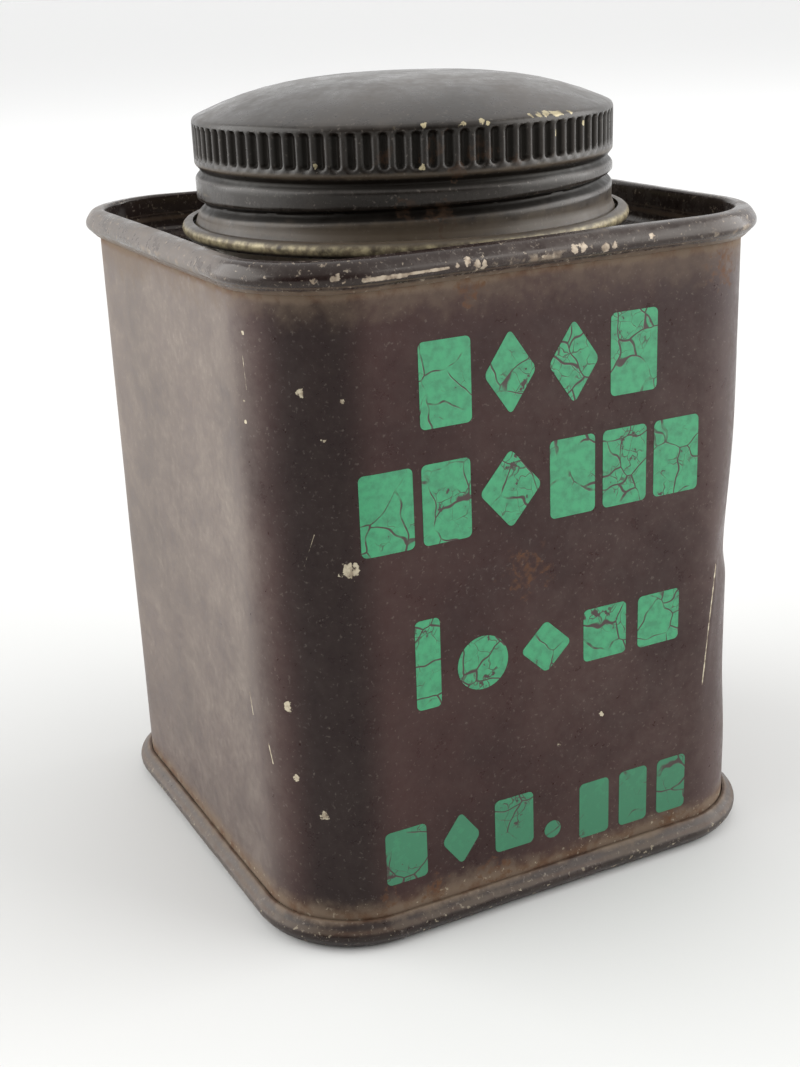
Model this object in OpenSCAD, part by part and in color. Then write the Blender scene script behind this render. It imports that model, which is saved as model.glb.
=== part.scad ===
// Square tinplate powder canister with a screw cap.
// Millimetres, +Z up. Origin: centre of the footprint on the surface it stands on; the front faces -Y.
// Sheet-metal pieces are drawn as a path of [across, height, bend radius] corners that is given the
// thickness of the sheet, and swept round the square body or turned round the Z axis.

/* [Body] */
// Width and depth of the square body over its walls
body_w = 45; // [44:0.5:60]
// Height of the body over both end seams
body_h = 55.7; // [50:0.1:80]
// Outer radius of the body's upright corners
corner_r = 8; // [7:0.5:9]
// Thickness of the tinplate
sheet_t = 0.3; // [0.28:0.01:0.3]

/* [End seams] */
// Height of each double seam
seam_h = 2.6; // [2.5:0.1:3]
// Gap between the folded layers of a seam
layer_gap = 0.1; // [0.08:0.01:0.1]
// Depth of the top panel below the rim
top_recess = 3.4; // [3.2:0.1:4]
// Height of the bottom panel above the surface
bottom_recess = 3; // [2.8:0.1:4]

/* [Side seam] */
// Half width of the folded lock seam down the back
lock_half_w = 2; // [1.6:0.1:3]

/* [Neck and sifter] */
// Outer radius of the neck's wall
neck_r = 16.4; // [16.3:0.05:16.4]
// Height of the neck above the top panel
neck_h = 9.9; // [9.8:0.1:9.9]
// Width of the neck's turned-in rim
rim_w = 1.2; // [1:0.1:1.4]
// Radius of a sifter hole
hole_r = 0.95; // [0.5:0.05:1.2]
// Distance between the rings of sifter holes
hole_pitch = 3.6; // [3:0.1:4.2]
// Number of rings of sifter holes round the middle one
hole_rings = 2; // [1:1:3]

/* [Thread] */
// Rise of the thread in one turn
thread_pitch = 2.7; // [2.6:0.05:2.8]
// Angle covered by one step of the thread
thread_step = 15; // [10:5:30]

/* [Cap] */
// Outer radius of the cap over its knurls
cap_r = 17.7; // [17.7:0.05:18]
// Height of the dome's middle above the shoulder of the cap
dome_h = 3; // [2:0.1:5]
// Height of the knurls
knurl_h = 2.8; // [2:0.1:3]
// Number of knurls
knurl_count = 90; // [60:2:100]

/* [Liner] */
// Radius of the wad inside the cap
wad_r = 16.9; // [16.5:0.05:16.9]
// Thickness of the pulpboard wad
wad_t = 0.8; // [0.6:0.05:0.85]

/* [Hidden] */
$fn = 96;
bend_step = 25;
enamel = [0.26, 0.2, 0.2];
tinplate = [0.66, 0.64, 0.58];
board = [0.72, 0.62, 0.46];
waxed = [0.86, 0.83, 0.74];

layer = sheet_t + layer_gap;           // pitch of the folded layers
wall_x = -sheet_t / 2;                 // middle of the body's wall, outward from its outer face
chuck_x = wall_x - sheet_t;            // middle of an end's upright wall, inside the body's
cover_hook_x = wall_x + layer;         // middle of the end's hook
body_hook_x = cover_hook_x + layer;    // middle of the body's hook
outer_x = body_hook_x + layer;         // middle of the seam's outer layer
inner_w = body_w - 2 * corner_r;       // straight stretch of each wall
panel_z = body_h - top_recess;         // upper face of the top panel
neck_top = panel_z + neck_h;
neck_mid = neck_r - sheet_t / 2;
bead_w = 1.2;                          // projection of the neck's bead and clinch
rim_depth = 1.4;                       // depth of the neck's turned-in rim
sifter_depth = 1.6;                    // depth of the perforated panel below the neck's rim
sifter_mid = neck_mid - rim_w - sheet_t;

cap_mid = cap_r - sheet_t / 2;
shoulder_z = neck_top + 1.4;           // where the dome meets the knurled band
dome_exponent = 2.9;
dome_steps = 12;
knurl_top = shoulder_z - 0.3;
knurl_bottom = knurl_top - knurl_h;
knurl_r = 0.42;
knurl_depth = 0.3;
bead_z = knurl_bottom - 1.05;          // middle of the ring-shaped groove
bead_half_h = 0.55;
bead_depth = 0.45;
skirt_z = bead_z - 3.45;               // where the skirt starts to flare
curl_r = 0.5;
curl_x = cap_mid + 0.9;
curl_z = skirt_z - 1.25;
curl_step = 30;

thread_base_z = bead_z - 3.88;         // height of the cap's thread where its angle is 0
cap_thread = [84, 414];                // angles where the cap's thread starts and ends
neck_thread = [-150, 240];
thread_split = 0.3;                    // angle left between two steps of the thread
thread_lead = 0.9;                     // height of the neck's thread above the cap's when closed
fit_gap = 0.05;                        // clearance between the sifter and the cap's facing
facing_t = 0.12;
facing_z = neck_top + sheet_t + fit_gap;

function unit(v) = v / norm(v);
function left_of(v) = [-v.y, v.x];
function turned(v, a) = [v.x * cos(a) - v.y * sin(a), v.x * sin(a) + v.y * cos(a)];
function flat(c) = [c.x, c.y];

// Arc of radius r that rounds the corner q of the path p, q, s
function fillet(p, q, s, r) =
    let (a = unit(q - p), b = unit(s - q),
         turn = atan2(a.x * b.y - a.y * b.x, a * b),
         start = q - a * r * tan(abs(turn) / 2),
         centre = start + left_of(a) * r * sign(turn),
         steps = ceil(abs(turn) / bend_step))
    [for (k = [0 : steps]) centre + turned(start - centre, turn * k / steps)];

// Path through corners of [across, height, bend radius], with its bends rounded
function bent(corners) =
    let (last = len(corners) - 1)
    [for (i = [0 : last])
        each (i == 0 || i == last || corners[i].z == 0)
            ? [flat(corners[i])]
            : fillet(flat(corners[i - 1]), flat(corners[i]), flat(corners[i + 1]), corners[i].z)];

function mitred(path, i, d) =
    let (before = i > 0 ? unit(path[i] - path[i - 1]) : unit(path[1] - path[0]),
         after = i < len(path) - 1 ? unit(path[i + 1] - path[i]) : before,
         n = unit(left_of(before) + left_of(after)))
    path[i] + n * d / (n * left_of(before));

// Outline of a sheet that follows the path
function sheet_outline(path) =
    concat([for (i = [0 : len(path) - 1]) mitred(path, i, sheet_t / 2)],
           [for (i = [len(path) - 1 : -1 : 0]) mitred(path, i, -sheet_t / 2)]);

module sheet(path) { polygon(sheet_outline(path)); }

// Sweeps a profile, drawn outward from the wall's outer face, round the square body
module square_ring(path) {
    for (side = [0 : 3]) rotate(90 * side) {
        translate([body_w / 2, inner_w / 2, 0]) rotate([90, 0, 0])
            linear_extrude(inner_w) sheet(path);
        translate([inner_w / 2, inner_w / 2, 0]) rotate_extrude(angle = 90)
            translate([corner_r, 0]) sheet(path);
    }
}

// Run of short turned arcs that climbs like a thread, each a hair short of the next; its profile is the child
module helical_run(angles, base_z) {
    for (a = [angles[0] : thread_step : angles[1] - thread_step])
        translate([0, 0, base_z + thread_pitch * (a + thread_step / 2) / 360]) rotate(a)
            rotate_extrude(angle = thread_step - thread_split) children();
}

// Tapered rib or groove from radius root to radius crest
module rib_profile(root, crest, root_half_h, crest_half_h) {
    polygon([[root, -root_half_h], [crest, -crest_half_h], [crest, crest_half_h], [root, root_half_h]]);
}

// Plan of the two hooked edges of the body's sheet, with the wall's outer face at y = 0
module lock_plan(zone) {
    main_y = -sheet_t / 2;
    fold_x = lock_half_w + layer;
    sheet(bent([[-zone, main_y, 0], [lock_half_w, main_y, 0.3], [lock_half_w, main_y - 2 * layer, 0.3],
                [layer - lock_half_w, main_y - 2 * layer, 0]]));
    sheet(bent([[zone, main_y, 0], [fold_x, main_y, 0.3], [fold_x, main_y - 3 * layer, 0.3],
                [-lock_half_w, main_y - 3 * layer, 0.3], [-lock_half_w, main_y - layer, 0.3],
                [lock_half_w - layer, main_y - layer, 0]]));
}

module body_shell() {
    flange_z = 1.5 * sheet_t + layer_gap;
    hook_z = seam_h - layer;
    lock_z = seam_h + bottom_recess / 2;
    lock_h = body_h - 2 * lock_z;
    zone = lock_half_w + 2 * layer;
    color(enamel) {
        difference() {
            square_ring(bent([
                [body_hook_x, hook_z, 0], [body_hook_x, flange_z, 0.3], [wall_x, flange_z, 0.3],
                [wall_x, body_h - flange_z, 0.3], [body_hook_x, body_h - flange_z, 0.3],
                [body_hook_x, body_h - hook_z, 0]]));
            translate([-zone, body_w / 2 - 1, lock_z]) cube([2 * zone, 2, lock_h]);
        }
        translate([0, body_w / 2, lock_z]) linear_extrude(lock_h) lock_plan(zone);
    }
}

// Stamped end with its rim on z = 0 and its panel above, as the bottom end stands
module seamed_end(recess) {
    square_ring(bent([
        [-corner_r, recess + sheet_t / 2, 0], [chuck_x, recess + sheet_t / 2, 0.8],
        [chuck_x, sheet_t / 2, 0.45], [outer_x, sheet_t / 2, 0.6],
        [outer_x, seam_h - sheet_t / 2, 0.3], [cover_hook_x, seam_h - sheet_t / 2, 0.3],
        [cover_hook_x, 2 * layer, 0]]));
    translate([-inner_w / 2, -inner_w / 2, recess]) cube([inner_w, inner_w, sheet_t]);
}

module top_end() {
    color(enamel) difference() {
        translate([0, 0, body_h]) mirror([0, 0, 1]) seamed_end(top_recess);
        translate([0, 0, panel_z - 1]) cylinder(r = neck_r, h = 2);
    }
}

module bottom_end() {
    color(enamel) seamed_end(bottom_recess);
}

module neck_ring() {
    clinch_z = panel_z - 1.5 * sheet_t;
    bead_low = panel_z + sheet_t / 2;
    color(tinplate) {
        rotate_extrude() sheet(bent([
            [neck_mid + bead_w, clinch_z, 0], [neck_mid, clinch_z, 0],
            [neck_mid, bead_low, 0], [neck_mid + bead_w, bead_low, 0],
            [neck_mid + bead_w, bead_low + layer, 0], [neck_mid, bead_low + layer, 0],
            [neck_mid, neck_top - sheet_t / 2, 0.5], [neck_mid - rim_w, neck_top - sheet_t / 2, 0.45],
            [neck_mid - rim_w, neck_top - rim_depth, 0]]));
        helical_run(neck_thread, thread_base_z + thread_lead)
            rib_profile(neck_r - 0.05, neck_r + 0.75, 0.5, 0.2);
    }
}

module sifter_disc() {
    color(tinplate) difference() {
        rotate_extrude() sheet(bent([
            [neck_mid, neck_top + sheet_t / 2, 0], [sifter_mid, neck_top + sheet_t / 2, 0],
            [sifter_mid, neck_top - sifter_depth, 0.4], [0, neck_top - sifter_depth, 0]]));
        for (ring = [0 : hole_rings]) for (k = [0 : max(0, 6 * ring - 1)])
            rotate(60 * k / max(1, ring)) translate([ring * hole_pitch, 0, neck_top - sifter_depth - 1])
                cylinder(r = hole_r, h = 2);
    }
}

// Middle of the sheet, from the top of the dome down to the outward curl of the skirt
function cap_path() =
    let (reach = cap_mid - 0.7,
         edge_z = shoulder_z + 0.35,
         rise = dome_h - 0.35 - sheet_t / 2)
    concat(
        [[0, edge_z + rise]],
        [for (k = [1 : dome_steps])
            [reach * k / dome_steps,
             edge_z + rise * (1 - pow((k - 1) / (dome_steps - 1), dome_exponent))]],
        fillet([reach, edge_z], [cap_mid, shoulder_z], [cap_mid, bead_z], 0.5),
        bent([[cap_mid, knurl_bottom, 0], [cap_mid, bead_z + bead_half_h, 0.3],
              [cap_mid - bead_depth, bead_z, 0.35], [cap_mid, bead_z - bead_half_h, 0.3],
              [cap_mid, skirt_z, 0.5], [curl_x - curl_r, curl_z + 0.2, 0]]),
        [for (a = [180 : curl_step : 480]) [curl_x + curl_r * cos(a), curl_z + curl_r * sin(a)]]);

module cap_shell() {
    inner_r = cap_r - sheet_t;
    color(enamel) difference() {
        union() {
            rotate_extrude() sheet(cap_path());
            // The knurled band, whose sheet is pushed in between the knurls
            rotate_extrude() translate([inner_r - knurl_depth - 0.05, knurl_bottom])
                square([knurl_depth + 0.1, knurl_h]);
            helical_run(cap_thread, thread_base_z) rib_profile(inner_r + 0.1, inner_r - 0.7, 0.55, 0.2);
        }
        helical_run(cap_thread, thread_base_z) rib_profile(cap_r + 0.05, cap_r - 0.7, 0.42, 0.12);
        for (k = [0 : knurl_count - 1]) rotate(360 * k / knurl_count)
            translate([cap_r - knurl_depth + knurl_r, 0, knurl_bottom])
                cylinder(r = knurl_r, h = knurl_h, $fn = 24);
    }
}

module liner_facing() {
    color(waxed) translate([0, 0, facing_z]) cylinder(r = wad_r, h = facing_t);
}

module cap_liner() {
    color(board) translate([0, 0, facing_z + facing_t]) cylinder(r = wad_r, h = wad_t);
}

body_shell();
top_end();
bottom_end();
neck_ring();
sifter_disc();
cap_shell();
cap_liner();
liner_facing();
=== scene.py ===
"""Looks of a square tinplate powder canister with a screw cap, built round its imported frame.

Every size in a class's fields is in millimetres; MM turns it into Blender's metres.
"""

import logging
import math
from dataclasses import dataclass, field
from enum import Enum
from typing import Callable, Optional, Sequence, Union

import bmesh
import bpy
from mathutils import Matrix, Quaternion, Vector


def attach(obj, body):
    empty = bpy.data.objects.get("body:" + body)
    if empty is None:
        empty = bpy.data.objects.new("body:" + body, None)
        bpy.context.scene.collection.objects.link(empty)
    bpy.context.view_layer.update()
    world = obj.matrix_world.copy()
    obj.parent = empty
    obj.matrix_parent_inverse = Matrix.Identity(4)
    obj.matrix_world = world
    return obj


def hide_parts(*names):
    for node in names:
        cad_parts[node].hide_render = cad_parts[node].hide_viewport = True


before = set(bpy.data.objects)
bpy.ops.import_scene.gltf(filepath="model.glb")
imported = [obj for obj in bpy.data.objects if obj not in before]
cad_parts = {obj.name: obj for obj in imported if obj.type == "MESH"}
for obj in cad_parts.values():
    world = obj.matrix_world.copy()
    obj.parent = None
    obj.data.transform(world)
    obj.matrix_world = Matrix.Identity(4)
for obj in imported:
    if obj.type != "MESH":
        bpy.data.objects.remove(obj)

MM = 0.001
FULL_TURN = 2 * math.pi
QUARTER_TURN = math.pi / 2

Point = tuple[float, float]
Corner = tuple[float, float, float]
Colour = tuple[float, float, float]
Place = tuple[float, float, float]
Weight = Callable[[Vector], float]
Operand = Union["Value", float]

log = logging.getLogger("canister")


class Body(Enum):
    """The moving bodies of the frame that the pieces ride on."""

    TIN = "tin"
    LINER = "liner"
    CAP = "cap"


class Slot(Enum):
    """The record's material slots."""

    ENAMEL = "enamelled_tinplate"
    CAP_ENAMEL = "cap_enamel"
    BARE = "bare_tinplate"
    BOARD = "pulpboard"
    WAXED = "waxed_paper"


# ---------------------------------------------------------------- numbers


def smooth_step(low: float, high: float, value: float) -> float:
    """Ease from 0 at low to 1 at high.

    Args:
        low: Value where the result starts to rise (or to fall, when it is the larger).
        high: Value where the result reaches 1.
        value: The number to ease.

    Returns:
        A number from 0 to 1.
    """
    share = min(1.0, max(0.0, (value - low) / (high - low)))
    return share * share * (3 - 2 * share)


def bent(corners: Sequence[Corner], step_deg: float = 18.0) -> list[Point]:
    """Round the corners of a sheet's path.

    Args:
        corners: Across, height and bend radius of each corner; radius 0 keeps it sharp.
        step_deg: Largest angle between two points of a bend.

    Returns:
        The points of the path, bends included.
    """
    points: list[Point] = [corners[0][:2]]
    for before, here, after in zip(corners, corners[1:], corners[2:]):
        p, q, s = (Vector(corner[:2]) for corner in (before, here, after))
        a, b = (q - p).normalized(), (s - q).normalized()
        turn = math.atan2(a.x * b.y - a.y * b.x, a.dot(b))
        radius = here[2]
        if radius == 0 or abs(turn) < 0.01:
            points.append(here[:2])
            continue
        start = q - a * radius * math.tan(abs(turn) / 2)
        centre = start + Vector((-a.y, a.x)) * math.copysign(radius, turn)
        steps = max(2, math.ceil(math.degrees(abs(turn)) / step_deg))
        for k in range(steps + 1):
            spoke = (start - centre).copy()
            spoke.rotate(Matrix.Rotation(turn * k / steps, 2))
            points.append(tuple(centre + spoke))
    points.append(corners[-1][:2])
    return points


def divided(points: Sequence[Point], longest: float) -> list[Point]:
    """Split the long stretches of a path.

    Args:
        points: The path.
        longest: Length that no stretch of the result passes.

    Returns:
        The same path with more points.
    """
    result = [points[0]]
    for start, end in zip(points, points[1:]):
        a, b = Vector(start), Vector(end)
        parts = max(1, math.ceil((b - a).length / longest))
        result += [tuple(a.lerp(b, k / parts)) for k in range(1, parts + 1)]
    return result


# ---------------------------------------------------------------- the modelling bench


class Bench:
    """Blender's own mesh operators, with one piece in hand at a time."""

    @staticmethod
    def clear() -> None:
        """Leave edit mode and let go of everything."""
        if bpy.context.object and bpy.context.object.mode != "OBJECT":
            bpy.ops.object.mode_set(mode="OBJECT")
        bpy.ops.object.select_all(action="DESELECT")

    @classmethod
    def hold(cls, piece: bpy.types.Object, editing: bool = False) -> None:
        """Take one piece in hand.

        Args:
            piece: The piece.
            editing: Whether to enter edit mode with all of it selected.
        """
        cls.clear()
        piece.select_set(True)
        bpy.context.view_layer.objects.active = piece
        if editing:
            bpy.ops.object.mode_set(mode="EDIT")
            bpy.ops.mesh.select_mode(type="VERT")
            bpy.ops.mesh.select_all(action="SELECT")

    @staticmethod
    def pick(piece: bpy.types.Object, rule: Callable[[Vector], bool]) -> None:
        """Select, in edit mode, the vertices whose place meets a rule.

        Args:
            piece: The piece in hand.
            rule: Says whether a vertex at a place is wanted.
        """
        bpy.ops.mesh.select_all(action="DESELECT")
        mesh = bmesh.from_edit_mesh(piece.data)
        for vertex in mesh.verts:
            vertex.select_set(rule(vertex.co))
        mesh.select_flush(True)
        bmesh.update_edit_mesh(piece.data)

    @classmethod
    def draw_path(cls, name: str, points: Sequence[Point], start: Place = (0, 0, 0)) -> bpy.types.Object:
        """Draw a path in the upright plane through the X axis, by extruding one vertex.

        Args:
            name: Name of the new piece.
            points: Across and height of each point.
            start: Where the path's own origin lies.

        Returns:
            The new piece, in edit mode with all of it selected.
        """
        cls.clear()
        bpy.ops.mesh.primitive_plane_add(size=MM)
        piece = bpy.context.object
        piece.name = piece.data.name = name
        bpy.ops.object.mode_set(mode="EDIT")
        bpy.ops.mesh.merge(type="CENTER")
        spots = [Vector((start[0] + x, start[1], start[2] + z)) * MM for x, z in points]
        bpy.ops.transform.translate(value=spots[0])
        for here, after in zip(spots, spots[1:]):
            bpy.ops.mesh.extrude_vertices_move(TRANSFORM_OT_translate={"value": after - here})
        bpy.ops.mesh.select_all(action="SELECT")
        return piece

    @classmethod
    def lathe(cls, name: str, points: Sequence[Point], steps: int,
              seen_from: Place = (0, 0, 100)) -> bpy.types.Object:
        """Turn a path round the Z axis.

        Args:
            name: Name of the new piece.
            points: Radius and height of each point of the path.
            steps: Number of steps in the full turn.
            seen_from: A place, in millimetres, that the nearest face looks towards.

        Returns:
            The turned skin, with its poles closed.
        """
        piece = cls.draw_path(name, points)
        bpy.ops.mesh.spin(steps=steps, angle=FULL_TURN, center=(0, 0, 0), axis=(0, 0, 1))
        return cls.close_skin(piece, seen_from)

    @classmethod
    def square_ring(
        cls, name: str, points: Sequence[Point], wall: "SquarePlan", corner_steps: int, wall_steps: int
    ) -> bpy.types.Object:
        """Sweep a path round the square body: spun at each corner, extruded along each wall.

        Args:
            name: Name of the new piece.
            points: Distance outward from the wall and height of each point of the path.
            wall: Plan of the walls.
            corner_steps: Steps in each corner.
            wall_steps: Steps along each wall.

        Returns:
            The swept skin.
        """
        straight = wall.width - 2 * wall.corner_r
        piece = cls.draw_path(name, points, (wall.width / 2, straight / 2, 0))
        for k in range(4):
            turn = Matrix.Rotation(k * QUARTER_TURN, 3, "Z")
            centre = turn @ Vector((straight / 2, straight / 2, 0)) * MM
            bpy.ops.mesh.spin(steps=corner_steps, angle=-QUARTER_TURN, center=centre, axis=(0, 0, 1))
            along = turn @ Vector((-straight / wall_steps, 0, 0)) * MM
            for _ in range(wall_steps):
                bpy.ops.mesh.extrude_region_move(TRANSFORM_OT_translate={"value": along})
        return cls.close_skin(piece, (0, -100, 28))

    @classmethod
    def close_skin(cls, piece: bpy.types.Object, seen_from: Place) -> bpy.types.Object:
        """Merge the doubles of a skin and turn its faces outwards.

        Args:
            piece: The piece, in edit mode.
            seen_from: A place, in millimetres, that the nearest face looks towards.

        Returns:
            The piece, in object mode.
        """
        bpy.ops.mesh.select_all(action="SELECT")
        bpy.ops.mesh.remove_doubles(threshold=0.002 * MM)
        bpy.ops.mesh.normals_make_consistent(inside=False)
        mesh = bmesh.from_edit_mesh(piece.data)
        eye = Vector(seen_from) * MM
        near = min(mesh.faces, key=lambda face: (face.calc_center_median() - eye).length)
        if near.normal.dot(eye - near.calc_center_median()) < 0:
            bpy.ops.mesh.flip_normals()
        cls.clear()
        return piece

    @classmethod
    def modify(cls, piece: bpy.types.Object, kind: str, **settings: object) -> None:
        """Add a modifier to a piece and apply it.

        Args:
            piece: The piece.
            kind: Blender's name of the modifier type.
            settings: Its properties.
        """
        cls.hold(piece)
        modifier = piece.modifiers.new(kind.title(), kind)
        for key, setting in settings.items():
            setattr(modifier, key, setting)
        bpy.ops.object.modifier_apply(modifier=modifier.name)

    @classmethod
    def press(cls, piece: bpy.types.Object, depth: float, weight: Weight, axis: str = "NORMAL") -> None:
        """Press a shape into a piece where a painted weight says.

        Args:
            piece: The piece.
            depth: Depth under full weight, in millimetres; negative raises the sheet.
            weight: Weight from 0 to 1 of a vertex at a place in millimetres.
            axis: Direction that counts as outward.
        """
        group = piece.vertex_groups.new(name="pressed")
        for vertex in piece.data.vertices:
            share = weight(vertex.co / MM)
            if share > 0:
                group.add([vertex.index], share, "REPLACE")
        cls.modify(piece, "DISPLACE", vertex_group=group.name, strength=-depth * MM,
                   mid_level=0.0, direction=axis)
        piece.vertex_groups.clear()

    @classmethod
    def ripple(cls, piece: bpy.types.Object, height: float, span: float) -> None:
        """Give a sheet the shallow unevenness of handled tinplate.

        Args:
            piece: The piece.
            height: Height of the unevenness, in millimetres.
            span: Typical distance between its hills, in millimetres.
        """
        texture = bpy.data.textures.new(piece.name + "_ripple", "CLOUDS")
        texture.noise_scale = span * MM
        texture.noise_depth = 1
        cls.modify(piece, "DISPLACE", texture=texture, texture_coords="LOCAL",
                   strength=height * MM, mid_level=0.5)

    @classmethod
    def thicken(cls, piece: bpy.types.Object, sheet: float) -> None:
        """Give a skin the thickness of its sheet, inwards."""
        cls.modify(piece, "SOLIDIFY", thickness=sheet * MM, offset=-1.0, use_quality_normals=True)

    @classmethod
    def polish(cls, piece: bpy.types.Object, angle_deg: float = 40.0) -> None:
        """Shade a piece smooth, apart from edges sharper than an angle."""
        cls.hold(piece)
        bpy.ops.object.shade_smooth_by_angle(angle=math.radians(angle_deg))
        cls.clear()


# ---------------------------------------------------------------- shader sums


class Value:
    """A shader socket that adds Math nodes when it is used in a sum."""

    def __init__(self, recipe: "Recipe", socket: bpy.types.NodeSocket) -> None:
        """Wrap a socket of a recipe."""
        self.recipe = recipe
        self.socket = socket

    def _sum(self, operation: str, *others: Operand, clamp: bool = False) -> "Value":
        """Add a Math node that starts with this value."""
        return self.recipe.sum(operation, self, *others, clamp=clamp)

    def __add__(self, other: Operand) -> "Value":
        """Add."""
        return self._sum("ADD", other)

    def __sub__(self, other: Operand) -> "Value":
        """Subtract."""
        return self._sum("SUBTRACT", other)

    def __mul__(self, other: Operand) -> "Value":
        """Multiply."""
        return self._sum("MULTIPLY", other)

    def __pow__(self, other: Operand) -> "Value":
        """Raise to a power."""
        return self._sum("POWER", other)

    def __abs__(self) -> "Value":
        """Drop the sign."""
        return self._sum("ABSOLUTE")

    def __rsub__(self, other: float) -> "Value":
        """Subtract this value from a number."""
        return self.recipe.sum("SUBTRACT", other, self)

    def at_least(self, other: Operand) -> "Value":
        """Give the larger of two values."""
        return self._sum("MAXIMUM", other)

    def held(self) -> "Value":
        """Keep the value between 0 and 1."""
        return self._sum("ADD", 0.0, clamp=True)

    def ease(self, low: float, high: float) -> "Value":
        """Ease from 0 at low to 1 at high.

        Args:
            low: Value that becomes 0.
            high: Value that becomes 1; it may be the smaller.

        Returns:
            The eased value.
        """
        settings = {"interpolation_type": "SMOOTHSTEP"}
        if low < high:
            return self.recipe.node("ShaderNodeMapRange", settings,
                                    {"Value": self, "From Min": low, "From Max": high}, "Result")
        return 1.0 - self.ease(high, low)


class Recipe:
    """Builds the nodes of one material or of the world."""

    def __init__(self, name: str, owner: Optional[bpy.types.ID] = None) -> None:
        """Start with no nodes.

        Args:
            name: Name of the new material.
            owner: What the nodes belong to, where it isn't a new material.
        """
        self.owner = owner or bpy.data.materials.new(name)
        self.owner.use_nodes = True
        self.tree = self.owner.node_tree
        self.tree.nodes.clear()
        self._place: Optional[Value] = None
        self._axes: Optional[tuple[Value, Value, Value]] = None

    def node(self, kind: str, settings: dict, inputs: dict, output: Union[str, int] = 0) -> Value:
        """Add one node.

        Args:
            kind: The node's type.
            settings: Its properties, set before its sockets.
            inputs: Number, colour or Value of each socket, by name or index.
            output: The output socket that is wanted.

        Returns:
            That output.
        """
        made = self.tree.nodes.new(kind)
        for key, setting in settings.items():
            setattr(made, key, setting)
        for key, given in inputs.items():
            if isinstance(given, Value):
                self.tree.links.new(given.socket, made.inputs[key])
            else:
                made.inputs[key].default_value = given
        return Value(self, made.outputs[output])

    def sum(self, operation: str, *operands: Operand, clamp: bool = False) -> Value:
        """Add a Math node.

        Args:
            operation: Its operation.
            operands: Its numbers or values.
            clamp: Whether its result is held between 0 and 1.

        Returns:
            Its result.
        """
        return self.node("ShaderNodeMath", {"operation": operation, "use_clamp": clamp},
                         dict(enumerate(operands)))

    @property
    def place(self) -> Value:
        """Place on the object, in metres."""
        if self._place is None:
            self._place = self.node("ShaderNodeTexCoord", {}, {}, "Object")
        return self._place

    def axes(self) -> tuple[Value, Value, Value]:
        """Give the place along X, Y and Z, in millimetres."""
        if self._axes is None:
            parts = self.node("ShaderNodeSeparateXYZ", {}, {"Vector": self.place})
            outputs = parts.socket.node.outputs
            self._axes = tuple(Value(self, outputs[name]) * (1 / MM) for name in "XYZ")
        return self._axes

    def outward(self, plan: "SquarePlan") -> Value:
        """Give how far the surface lies outside the walls' outer face, in millimetres."""
        x, y, _ = self.axes()
        flat = plan.width / 2 - plan.corner_r
        over_x, over_y = (abs(x) - flat).at_least(0.0), (abs(y) - flat).at_least(0.0)
        return (over_x * over_x + over_y * over_y) ** 0.5 - plan.corner_r

    def up(self) -> Value:
        """Give how far the surface faces up, from -1 to 1."""
        normal = self.node("ShaderNodeNewGeometry", {}, {}, "Normal")
        return self.node("ShaderNodeSeparateXYZ", {}, {"Vector": normal}, "Z")

    def grain(self, size: float, detail: float = 3.0, shift: float = 0.0,
              stretch: Place = (1, 1, 1)) -> Value:
        """Add noise over the object.

        Args:
            size: Typical size of a patch, in millimetres.
            detail: Octaves of finer noise.
            shift: Moves the pattern, so that two grains differ; in metres.
            stretch: Divides the size along each axis.

        Returns:
            Noise round 0.5.
        """
        moved = self.node("ShaderNodeMapping", {}, {"Vector": self.place,
                          "Location": (shift, shift * 0.7, -shift), "Scale": stretch})
        return self.node("ShaderNodeTexNoise", {}, {"Vector": moved, "Scale": 1 / (size * MM),
                         "Detail": detail, "Roughness": 0.6}, "Fac")

    def cells(self, size: float, feature: str = "F1", output: str = "Distance", warp: float = 0.0) -> Value:
        """Add Voronoi cells over the object.

        Args:
            size: Typical size of a cell, in millimetres.
            feature: What the texture measures.
            output: The output that is wanted.
            warp: How far noise bends the cells, in millimetres.

        Returns:
            The texture's output.
        """
        where = self.place
        if warp:
            bend = self.node("ShaderNodeTexNoise", {}, {"Vector": self.place,
                             "Scale": 0.8 / (size * MM), "Detail": 2.0}, "Color")
            centred = self.node("ShaderNodeVectorMath", {"operation": "SUBTRACT"},
                                {0: bend, 1: (0.5, 0.5, 0.5)})
            where = self.node("ShaderNodeVectorMath", {"operation": "MULTIPLY_ADD"},
                              {0: centred, 1: (2 * warp * MM,) * 3, 2: self.place})
        return self.node("ShaderNodeTexVoronoi", {"feature": feature},
                         {"Vector": where, "Scale": 1 / (size * MM)}, output)

    @staticmethod
    def paint(colour: Union[Value, Colour]) -> Union[Value, tuple[float, float, float, float]]:
        """Make a colour fit for a colour socket."""
        return colour if isinstance(colour, Value) else (*colour, 1.0)

    def mix(self, base: Union[Value, Colour], top: Union[Value, Colour], share: Operand) -> Value:
        """Lay one colour over another.

        Args:
            base: Colour below.
            top: Colour above.
            share: How much of the top shows.

        Returns:
            The mixed colour.
        """
        return self.node("ShaderNodeMix", {"data_type": "RGBA"},
                         {0: share, 6: self.paint(base), 7: self.paint(top)}, 2)

    def spot(self, at: Place, radius: float, ragged: Value) -> Value:
        """Mask a ragged spot.

        Args:
            at: Its middle, in millimetres.
            radius: Its radius, in millimetres.
            ragged: Noise that frays its edge.

        Returns:
            1 inside the spot and 0 outside.
        """
        away = self.node("ShaderNodeVectorMath", {"operation": "DISTANCE"},
                         {0: self.place, 1: tuple(c * MM for c in at)}, "Value") * (1 / MM)
        return (away + (ragged - 0.5) * radius * 4.5).ease(radius * 0.95, radius * 0.75)

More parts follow.
